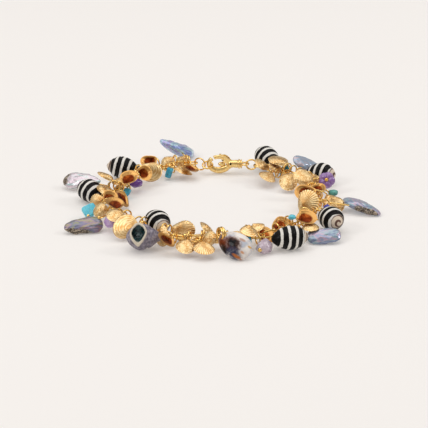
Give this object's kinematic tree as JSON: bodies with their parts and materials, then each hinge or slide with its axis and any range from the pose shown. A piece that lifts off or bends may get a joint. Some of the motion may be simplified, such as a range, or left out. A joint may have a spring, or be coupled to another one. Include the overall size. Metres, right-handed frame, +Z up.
{
  "type": "charm anklet",
  "caption": "Gold chain anklet with a lobster claw, hung all round with fan shells, banded snail shells, baroque pearls and coloured stones.",
  "frame": {"origin": "middle of the anklet's outline in plan, on the surface that it lies on", "axes": "+Z up, +X to the right across the loop, +Y to the claw at the back"},
  "size_m": [0.119, 0.106, 0.0107],
  "materials": {
    "gold": "satin gold plate, fine ribs and grain",
    "bright_gold": "polished gold plate",
    "banded_shell": "glossy black with white spiral bands",
    "spotted_shell": "glossy, blotched brown and blue-grey",
    "turban_shell": "worn grey-violet, satin",
    "pearl": "iridescent lustre",
    "amethyst": "polished, slightly clear",
    "turquoise": "polished, veined",
    "lapis": "polished cobalt blue"
  },
  "bodies": {
    "anklet": {"chain": "gold", "clasp_body": "bright_gold", "hook_ring": "bright_gold", "side_ring": "bright_gold", "end_ring": "bright_gold", "shell_striped_1": "banded_shell", "shell_striped_2": "banded_shell", "shell_striped_3": "banded_shell", "shell_striped_4": "banded_shell", "shell_striped_5": "banded_shell", "shell_striped_6": "banded_shell", "shell_striped_7": "banded_shell", "pearl_1": "pearl", "pearl_2": "pearl", "pearl_3": "pearl", "pearl_4": "pearl", "pearl_5": "pearl", "pearl_6": "pearl", "turquoise_1": "turquoise", "turquoise_2": "turquoise", "turquoise_3": "turquoise", "turquoise_4": "turquoise", "turquoise_6": "turquoise", "turquoise_7": "turquoise", "lapis_1": "lapis", "amethyst_1": "amethyst", "amethyst_2": "amethyst", "amethyst_3": "amethyst", "amethyst_4": "amethyst", "shell_cowrie": "spotted_shell", "shell_turban": "turban_shell", "fan_1": "gold", "fan_2": "gold", "fan_4": "gold", "fan_6": "gold", "fan_7": "gold", "fan_8": "gold", "fan_9": "gold", "fan_12": "gold", "fan_13": "gold", "fan_14": "gold", "fan_15": "gold", "fan_16": "gold", "fan_17": "gold", "fan_18": "gold", "fan_19": "gold", "fan_20": "gold", "fan_22": "gold", "fan_23": "gold", "fan_24": "gold", "fan_25": "gold", "fan_26": "gold", "fan_27": "gold", "fan_28": "gold"},
    "lever": {"clasp_lever": "bright_gold"}
  },
  "joints": [
    {"name": "lever_hinge", "type": "hinge", "parent": "anklet", "child": "lever", "pos_m": [0.0024, 0.0308, 0.00667], "axis": [0, -1, 0], "range_deg": [0, 22], "stiffness_Nm_per_rad": 0.002, "springref_deg": -20.05}
  ]
}
